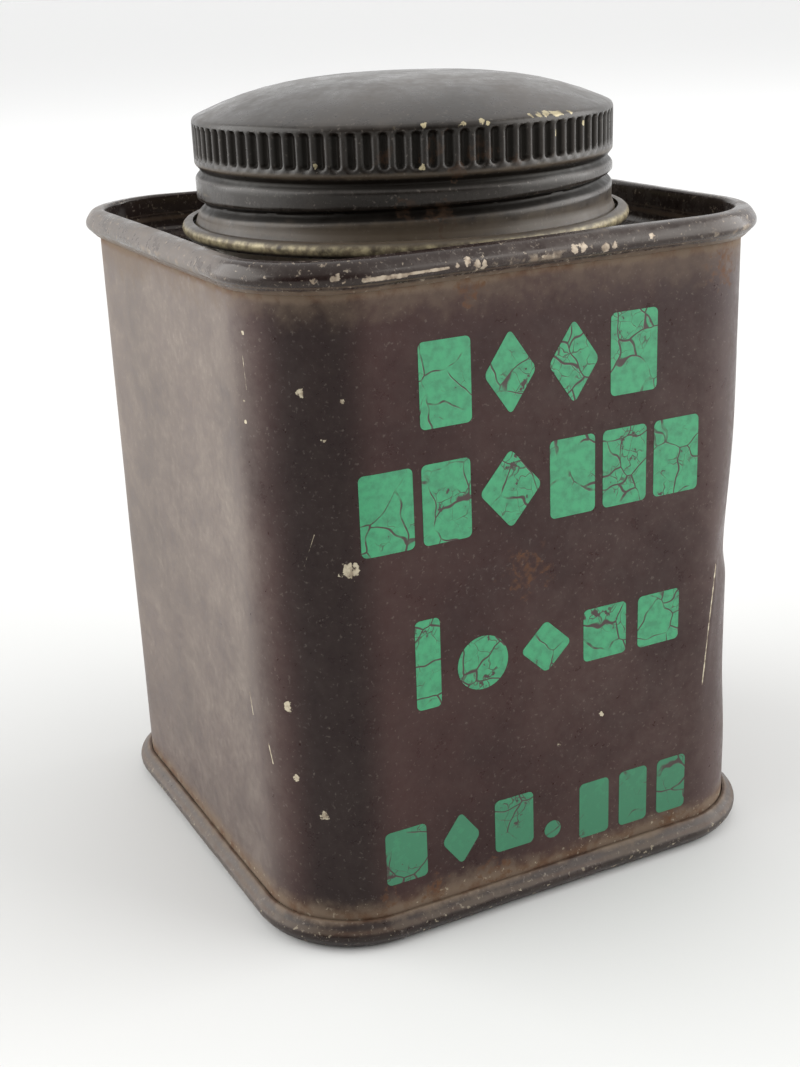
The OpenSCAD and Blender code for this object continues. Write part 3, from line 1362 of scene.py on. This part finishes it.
@dataclass
class Sifter(SubAssembly):
    """The perforated plate pressed into the neck's mouth."""

    seat_z: float = 62.5
    flange_r: float = 16.1
    wall_r: float = 14.85
    panel_z: float = 60.75
    sheet: float = 0.28
    hole_r: float = 0.95
    hole_pitch: float = 3.6
    rings: int = 2
    steps: int = 160

    def hole_places(self) -> list[Point]:
        """Lay out the holes: one in the middle and six more in each ring."""
        places = [(0.0, 0.0)]
        for ring in range(1, self.rings + 1):
            reach, count = ring * self.hole_pitch, 6 * ring
            for k in range(count):
                angle = FULL_TURN * k / count
                places.append((reach * math.cos(angle), reach * math.sin(angle)))
        return places

    def build(self, finish: bpy.types.Material) -> bpy.types.Object:
        """Model and dress the sifter.

        Args:
            finish: Its tinplate.

        Returns:
            The piece.
        """
        path = bent([
            (0, self.panel_z + 0.15, 0), (9.6, self.panel_z + 0.15, 0.5), (10.4, self.panel_z, 0.5),
            (self.wall_r - 0.28, self.panel_z, 0.6), (self.wall_r - 0.28, self.seat_z, 0.3),
            (self.flange_r, self.seat_z, 0)], 20)
        piece = Bench.lathe("sifter", divided(path, 1.2), self.steps)
        Bench.thicken(piece, self.sheet)
        self.punch(piece)
        Bench.polish(piece, 35)
        return self.mount(piece, finish, Body.TIN, Slot.BARE, "sifter_disc")

    def punch(self, piece: bpy.types.Object) -> None:
        """Punch the holes through the plate.

        Args:
            piece: The plate.
        """
        Bench.clear()
        punches = []
        for x, y in self.hole_places():
            bpy.ops.mesh.primitive_cylinder_add(vertices=28, radius=self.hole_r * MM, depth=3 * MM,
                                                location=(x * MM, y * MM, self.panel_z * MM))
            punches.append(bpy.context.object)
        for punch in punches:
            punch.select_set(True)
        bpy.ops.object.join()
        tool = bpy.context.object
        Bench.modify(piece, "BOOLEAN", object=tool, operation="DIFFERENCE", solver="EXACT")
        bpy.data.objects.remove(tool)


@dataclass
class CapLiner(SubAssembly):
    """The wad inside the cap and its waxed facing, turned as plain discs without the neck rim's mark."""

    radius: float = 16.9
    facing_z: float = 62.55
    facing_t: float = 0.12
    wad_t: float = 0.8
    steps: int = 200

    def disc(self, name: str, low: float, high: float, edge: float) -> bpy.types.Object:
        """Turn one disc with softened edges.

        Args:
            name: Name of the piece.
            low: Height of its lower face.
            high: Height of its upper face.
            edge: Radius of its softened edge.

        Returns:
            The disc.
        """
        corners = [(0, low, 0), (self.radius, low, edge), (self.radius, high, edge), (0, high, 0)]
        path = divided(bent(corners, 30), 1.5)
        piece = Bench.lathe(name, path, self.steps)
        Bench.polish(piece, 50)
        return piece

    def build(self, board: bpy.types.Material, waxed: bpy.types.Material) -> None:
        """Model and dress both discs.

        Args:
            board: Finish of the wad.
            waxed: Finish of the facing.
        """
        middle = self.facing_z + self.facing_t
        facing = self.disc("facing", self.facing_z, middle, 0.05)
        self.mount(facing, waxed, Body.LINER, Slot.WAXED, "liner_facing")
        wad = self.disc("wad", middle, middle + self.wad_t, 0.2)
        self.mount(wad, board, Body.LINER, Slot.BOARD, "cap_liner")


class Mark(Enum):
    """Plain shapes that the front is printed with."""

    BLOCK = "block"
    DISC = "disc"
    LOZENGE = "lozenge"


@dataclass(frozen=True)
class PrintedMark:
    """One plain printed shape on the front."""

    mark: Mark
    x: float
    z: float
    width: float
    height: float


@dataclass
class FrontPrint(SubAssembly):
    """Rows of plain green shapes printed on the front; they spell nothing."""

    wall_y: float = -22.5
    lift: float = 0.02
    film: float = 0.015

    @staticmethod
    def row(z: float, height: float, left: float, widths: Sequence[float], gap: float,
            marks: Sequence[Mark]) -> list[PrintedMark]:
        """Lay out one row of shapes from left to right.

        Args:
            z: Height of the row's middle.
            height: Height of its shapes.
            left: Where the row starts.
            widths: Width of each shape.
            gap: Space between two shapes.
            marks: What each shape is.

        Returns:
            The shapes.
        """
        made, x = [], left
        for width, mark in zip(widths, marks):
            made.append(PrintedMark(mark, x + width / 2, z, width, height))
            x += width + gap
        return made

    def layout(self) -> list[PrintedMark]:
        """Lay out the four rows."""
        block, disc, lozenge = Mark.BLOCK, Mark.DISC, Mark.LOZENGE
        return (
            self.row(45.8, 6.6, -11.0, (4.4, 4.6, 4.6, 4.4), 1.1, (block, lozenge, lozenge, block))
            + self.row(36.6, 6.4, -16.2, (4.4, 4.2, 5.6, 4.2, 4.2, 4.4), 0.75,
                       (block, block, lozenge, block, block, block))
            + self.row(23.6, 7.6, -12.1, (2.2,), 0, (block,))
            + self.row(22.6, 4.6, -8.4, (4.6, 4.8, 4.2, 4.2), 1.2, (disc, lozenge, block, block))
            + self.row(7.4, 4.8, -15.4, (3.7, 3.6, 3.7), 1.4, (block, lozenge, block))
            + self.row(5.6, 1.6, -0.5, (1.6,), 0, (disc,))
            + self.row(6.4, 5.2, 3.0, (3.0, 2.9, 3.0), 1.1, (block, block, block)))

    def shape(self, printed: PrintedMark) -> bpy.types.Object:
        """Cut one shape of ink film, flat in front of the wall.

        Args:
            printed: What it is.

        Returns:
            The shape, not yet laid on the wall.
        """
        Bench.clear()
        at = Vector((printed.x, self.wall_y - 2, printed.z)) * MM
        facing = (QUARTER_TURN, 0, 0)
        if printed.mark is Mark.DISC:
            bpy.ops.mesh.primitive_circle_add(vertices=40, radius=printed.height / 2 * MM,
                                              fill_type="NGON", location=at, rotation=facing)
        else:
            bpy.ops.mesh.primitive_plane_add(size=MM, location=at, rotation=facing)
        piece = bpy.context.object
        bpy.ops.object.transform_apply(location=True, rotation=True, scale=True)
        bpy.ops.object.mode_set(mode="EDIT")
        bpy.ops.mesh.select_all(action="SELECT")
        if printed.mark is Mark.LOZENGE:
            bpy.ops.transform.rotate(value=math.pi / 4, orient_axis="Y", center_override=at)
            bpy.ops.transform.resize(value=(printed.width / math.sqrt(2), 1, printed.height / math.sqrt(2)),
                                     center_override=at)
        elif printed.mark is Mark.BLOCK:
            bpy.ops.transform.resize(value=(printed.width, 1, printed.height), center_override=at)
        if printed.mark is not Mark.DISC:
            bpy.ops.mesh.bevel(affect="VERTICES", offset=0.45 * MM, segments=6)
        bpy.ops.mesh.select_all(action="SELECT")
        for x_cut in range(-2, 3):
            self.slice(at + Vector((x_cut * printed.width / 6 * MM, 0, 0)), (1, 0, 0))
        for z_cut in range(-3, 4):
            self.slice(at + Vector((0, 0, z_cut * printed.height / 8 * MM)), (0, 0, 1))
        Bench.clear()
        return piece

    @staticmethod
    def slice(at: Vector, normal: Place) -> None:
        """Cut the selected faces along a plane, so that they can follow the wall."""
        bpy.ops.mesh.select_all(action="SELECT")
        bpy.ops.mesh.bisect(plane_co=at, plane_no=normal)

    def build(self, wall: bpy.types.Object, finish: bpy.types.Material) -> bpy.types.Object:
        """Cut the film, lay it on the wall and dress it.

        Args:
            wall: The body's wall, which it follows.
            finish: The ink.

        Returns:
            The piece.
        """
        shapes = [self.shape(printed) for printed in self.layout()]
        Bench.clear()
        for shape in shapes:
            shape.select_set(True)
        bpy.context.view_layer.objects.active = shapes[0]
        bpy.ops.object.join()
        piece = bpy.context.object
        piece.name = piece.data.name = "front_print"
        Bench.modify(piece, "SHRINKWRAP", target=wall, wrap_method="PROJECT", use_project_y=True,
                     use_positive_direction=True, use_negative_direction=False,
                     wrap_mode="ABOVE_SURFACE", offset=self.lift * MM)
        Bench.hold(piece, editing=True)
        bpy.ops.mesh.normals_make_consistent(inside=False)
        mesh = bmesh.from_edit_mesh(piece.data)
        if sum(face.normal.y for face in mesh.faces) > 0:
            bpy.ops.mesh.flip_normals()
        Bench.thicken(piece, self.film)
        Bench.polish(piece)
        return self.mount(piece, finish, Body.TIN, Slot.ENAMEL)


# ---------------------------------------------------------------- studio


@dataclass
class Studio:
    """A pale floor, soft light and the camera."""

    aim: Place = (-1.38, 0.72, 25.57)
    azimuth: float = -26.62
    elevation: float = 19.68
    roll: float = 2.30
    distance: float = 143.3
    lens: float = 52.17
    # Floor colour near the canister and far off: a painted falloff of light.
    floor_near_shaded: float = 0.66
    floor_far_lit: float = 0.88
    tent_light: float = 1.4
    dark_light: float = 0.05
    dark_from: float = 0.45
    dark_until: float = 0.95
    backdrop: float = 1.06

    def set_camera(self) -> None:
        """Put the camera where it looks down on the front left-hand corner."""
        a, e = math.radians(self.azimuth), math.radians(self.elevation)
        back = Vector((math.sin(a) * math.cos(e), -math.cos(a) * math.cos(e), math.sin(e)))
        data = bpy.data.cameras.new("camera")
        data.lens, data.sensor_width, data.sensor_fit = self.lens, 36.0, "AUTO"
        data.clip_start, data.clip_end = 5 * MM, 20.0
        camera = bpy.data.objects.new("camera", data)
        bpy.context.scene.collection.objects.link(camera)
        camera.location = (Vector(self.aim) + back * self.distance) * MM
        camera.rotation_mode = "QUATERNION"
        level = (-back).to_track_quat("-Z", "Y")
        camera.rotation_quaternion = level @ Quaternion((0, 0, 1), math.radians(-self.roll))
        bpy.context.scene.camera = camera

    def lay_floor(self) -> None:
        """Lay the pale floor, painted paler with distance from the canister as painted light."""
        Bench.clear()
        bpy.ops.mesh.primitive_circle_add(vertices=64, radius=20.0, fill_type="NGON")
        floor = bpy.context.object
        floor.name = "floor"
        r = Recipe("pale_floor")
        x, y, _ = r.axes()
        # Painted light: the floor's colour grows paler away from the canister, standing in for the brighter
        # back of the tent.
        away = (x * x + y * y) ** 0.5 + r.grain(60, 3) * 30
        near, far = self.floor_near_shaded, self.floor_far_lit
        colour = r.mix((near, near * 1.003, near * 0.985), (far, far, far * 0.995), away.ease(90, 900))
        floor.data.materials.append(r.finish(colour, 0.6, specular=0.2))
        Bench.clear()

    @staticmethod
    def area(name: str, at: Place, size: float, watts: float, target: Place = (0, 0, 30)) -> None:
        """Hang one soft light.

        Args:
            name: Its name.
            at: Where it hangs, in millimetres.
            size: Length of its side, in millimetres.
            watts: Its power.
            target: What it points at.
        """
        data = bpy.data.lights.new(name, "AREA")
        data.shape, data.size, data.energy = "SQUARE", size * MM, watts
        lamp = bpy.data.objects.new(name, data)
        bpy.context.scene.collection.objects.link(lamp)
        lamp.location = Vector(at) * MM
        lamp.rotation_mode = "QUATERNION"
        lamp.rotation_quaternion = (Vector(target) - Vector(at)).to_track_quat("-Z", "Y")

    def set_sky(self) -> None:
        """Surround the scene with a white tent that is dark round the camera's side."""
        bpy.context.scene.world = world = bpy.data.worlds.new("tent")
        r = Recipe("tent", world)
        towards = r.node("ShaderNodeTexCoord", {}, {}, "Generated")
        facing = r.node("ShaderNodeVectorMath", {"operation": "DOT_PRODUCT"},
                        {0: towards, 1: (-0.44, -0.88, 0.18)}, "Value")
        bright = facing.ease(self.dark_until, self.dark_from)
        tent = bright * (self.tent_light - self.dark_light) + self.dark_light
        seen = r.node("ShaderNodeLightPath", {}, {}, "Is Camera Ray")
        strength = tent + (self.backdrop - tent) * seen
        r.show(r.node("ShaderNodeBackground", {}, {"Strength": strength}), "ShaderNodeOutputWorld")

    def build(self) -> None:
        """Set up the whole studio."""
        self.set_camera()
        self.lay_floor()
        self.set_sky()
        self.area("left_box", (-580, 290, 240), 760, 6.2)
        self.area("right_box", (600, -290, 210), 800, 7.4)
        bpy.context.scene.view_settings.view_transform = "Standard"


# ---------------------------------------------------------------- build


def chips_on(place: Callable[[float, float], Place], spots: Sequence[Corner]) -> tuple[Chip, ...]:
    """Lay out chips or stains on a surface.

    Args:
        place: Finds a place on the surface from two measures.
        spots: Those two measures and the radius of each one.

    Returns:
        The chips.
    """
    return tuple(Chip(place(along, up), radius) for along, up, radius in spots)


def body_enamel(plan: SquarePlan) -> Enamel:
    """Describe the body's enamel: paler on the left wall with dust and painted sheen, rusty along both seams.
    """
    return Enamel(
        # The left wall's film is partly dust and partly painted sheen.
        plan, side_dust_and_sheen=0.55, seam_x=1.9, mottle=1.15,
        flecks=0.17, grit=0.5, grit_below=4.5,
        stains=chips_on(plan.front, (
            (-15.2, 3.9, 0.9), (-2.0, 29.5, 2.0), (-5.5, 3.2, 1.6), (12.6, 3.0, 1.4), (-11.0, 3.2, 1.2),
            (17.0, 51.6, 1.8), (-6.5, 52.6, 1.2))),
        dirt=(DirtLine(53.6, 3.4, 0.42, 0.2), DirtLine(53.2, 0.7, 0.80, 0.8),
              DirtLine(2.6, 1.8, 0.6, 0.6), DirtLine(2.6, 0.8, 0.75, 0.8)),
        chips=chips_on(plan.front, (
            (-19.6, 46.4, 0.34), (-17.1, 45.5, 0.34), (-18.3, 42.7, 0.22), (-17.05, 32.5, 0.62),
            (-21.2, 14.9, 0.3), (-19.7, 11.9, 0.34), (1.1, 13.3, 0.3), (5.2, 15.2, 0.2),
            (-21.4, 21.0, 0.34), (-8.5, 4.6, 0.22), (-22.2, 50.3, 0.16), (-22.3, 45.2, 0.2),
            (-22.3, 43.6, 0.14))),
        scratches=(Scratch(plan.front(-22.25, 48.6), plan.front(-22.2, 46.1), 0.06),
                   Scratch(plan.left(-13.3, 20.4), plan.left(-13.7, 18.6)),
                   Scratch(plan.left(-16.2, 17.0), plan.left(-16.6, 15.4)),
                   Scratch(plan.front(-19.3, 35.5), plan.front(-20.0, 33.0), 0.04),
                   Scratch(plan.front(17.35, 26.6), plan.front(16.6, 21.0), 0.10),
                   Scratch(plan.front(16.6, 21.0), plan.front(15.9, 15.1), 0.09)))


def top_enamel(plan: SquarePlan) -> Enamel:
    """Describe the top end's enamel: dark, and knocked bare along the front ridge."""
    ridge = plan.ridge
    return Enamel(
        plan, colour=(0.024, 0.0135, 0.0125), dark=(0.014, 0.008, 0.0075), bare=(0.42, 0.35, 0.27),
        gloss=0.22, specular=0.36, grit=0.55, grit_below=60.0, tint=(1.0, 0.95, 0.88),
        dust_share=0.07, top_dust_and_sheen=0.04, side_dust_and_sheen=0.34, flecks=0.35, mottle=1.3,
        worn=(WornBand(54.35, 0.40, 0.50, 1.02, 0.10), WornBand(55.62, 0.12, 0.25, -0.5, 0.08)),
        dirt=(DirtLine(53.5, 0.35, 0.7), DirtLine(53.95, 0.12, 0.35)),
        chips=chips_on(ridge, (
            (-19.0, 54.5, 0.30), (-17.6, 54.6, 0.34), (-16.9, 54.35, 0.26), (-8.2, 54.5, 0.25),
            (-7.3, 54.75, 0.34), (-6.6, 54.4, 0.40), (-5.9, 54.35, 0.3), (-0.8, 54.3, 0.22),
            (1.7, 54.6, 0.4), (2.6, 54.7, 0.36), (4.4, 54.5, 0.45), (5.3, 54.6, 0.3), (8.9, 54.9, 0.28))),
        scratches=(Scratch(ridge(-15.6, 54.35), ridge(-12.3, 54.35), 0.20),
                   Scratch(ridge(-12.6, 54.4), ridge(-8.9, 54.45), 0.13)))


def bottom_enamel(plan: SquarePlan) -> Enamel:
    """Describe the bottom end's enamel: dark, gritty and rusty where it stands."""
    return Enamel(
        plan, colour=(0.022, 0.0125, 0.0115), dark=(0.013, 0.0075, 0.007), specular=0.34,
        tint=(1.0, 0.95, 0.88), dust_share=0.06, top_dust_and_sheen=0.02, side_dust_and_sheen=0.30, flecks=0.45,
        mottle=1.6, grit=0.9, grit_below=2.3,
        worn=(WornBand(1.25, 0.25, 0.25, 1.1, 0.08), WornBand(2.0, 0.3, 0.15, 0.3, 0.08)),
        dirt=(DirtLine(2.55, 0.6, 0.8, 1.0), DirtLine(1.7, 0.3, 0.3, 1.0)))


def cap_enamel(plan: SquarePlan, cap: ScrewCap) -> Enamel:
    """Describe the cap's enamel: nearly black and coated, paler on its dome with dust and painted sheen, with
    painted shade in its pushed-in hollows, bare on its curl.
    """
    return Enamel(
        plan, grime=(0.10, 0.075, 0.050), colour=(0.016, 0.012, 0.0095), dark=(0.009, 0.0072, 0.006),
        bare=(0.42, 0.36, 0.22), rust=(0.055, 0.030, 0.017), gloss=0.32, specular=0.15, coat=0.32,
        # The upward film here stands for the dome's dust and its painted sheen.
        tint=(1.0, 0.96, 0.88), dust_share=0.04, top_dust_and_sheen=0.085, flecks=0.25, mottle=1.2,
        # Painted shade darkens the cap's side inside this radius.
        shade_hollow_r=17.64,
        stains=chips_on(cap.spot, (
            (238, 61.5, 0.8), (250, 61.8, 1.1), (256, 60.2, 0.9), (243, 57.6, 1.1), (251, 57.0, 1.3),
            (262, 61.5, 1.0), (272, 60.6, 0.7))),
        worn=(WornBand(63.62, 0.28, 0.18, None, 0.08), WornBand(54.8, 0.5, 1.1, None, 0.16),
              WornBand(57.95, 0.12, 0.35, None, 0.08)),
        dirt=(DirtLine(55.8, 1.6, 0.6, 0.15), DirtLine(60.1, 0.3, 0.5, 0.3)),
        chips=chips_on(cap.spot, (
            (248, 63.75, 0.24), (257.5, 63.7, 0.26), (262.5, 63.8, 0.32), (264, 63.65, 0.22),
            (277, 63.9, 0.24), (279.5, 63.95, 0.34), (282, 63.95, 0.4), (284.5, 63.9, 0.4),
            (287, 63.9, 0.36), (290, 63.85, 0.3), (285, 62.3, 0.28), (285.5, 61.7, 0.18),
            (266, 61.3, 0.2), (247, 60.75, 0.22), (221, 60.9, 0.2), (296, 62.8, 0.2))))


def main() -> None:
    """Build the canister and its studio."""
    logging.basicConfig(level=logging.INFO, format="%(name)s %(message)s")
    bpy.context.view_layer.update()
    Studio().build()

    plan = SquarePlan()
    wall = WrappedBody(plan).build(body_enamel(plan).material("body_enamel"))
    FrontPrint().build(wall, PrintInk().material("green_ink"))
    top_finish = top_enamel(plan).material("top_enamel")
    bottom_finish = bottom_enamel(plan).material("bottom_enamel")
    StampedEnd("top_rim", "top_end", 55.7, -1, 3.4, plan, hole_r=16.45).build(top_finish)
    StampedEnd("bottom_rim", "bottom_end", 0.0, 1, 3.0, plan).build(bottom_finish)

    cap = ScrewCap()
    cap.build(cap_enamel(plan, cap).material("cap_enamel"))
    tin = BareTin().material("bare_tin")
    NeckRing().build(tin)
    Sifter().build(tin)
    pulp = Board((0.50, 0.37, 0.22), (0.30, 0.20, 0.11), 0.8, 0.35)
    waxed = Board((0.68, 0.62, 0.48), (0.42, 0.33, 0.20), 0.45, 0.5, 0.2)
    CapLiner().build(pulp.material("pulpboard"), waxed.material("waxed_paper"))


if __name__ == "__main__":
    main()
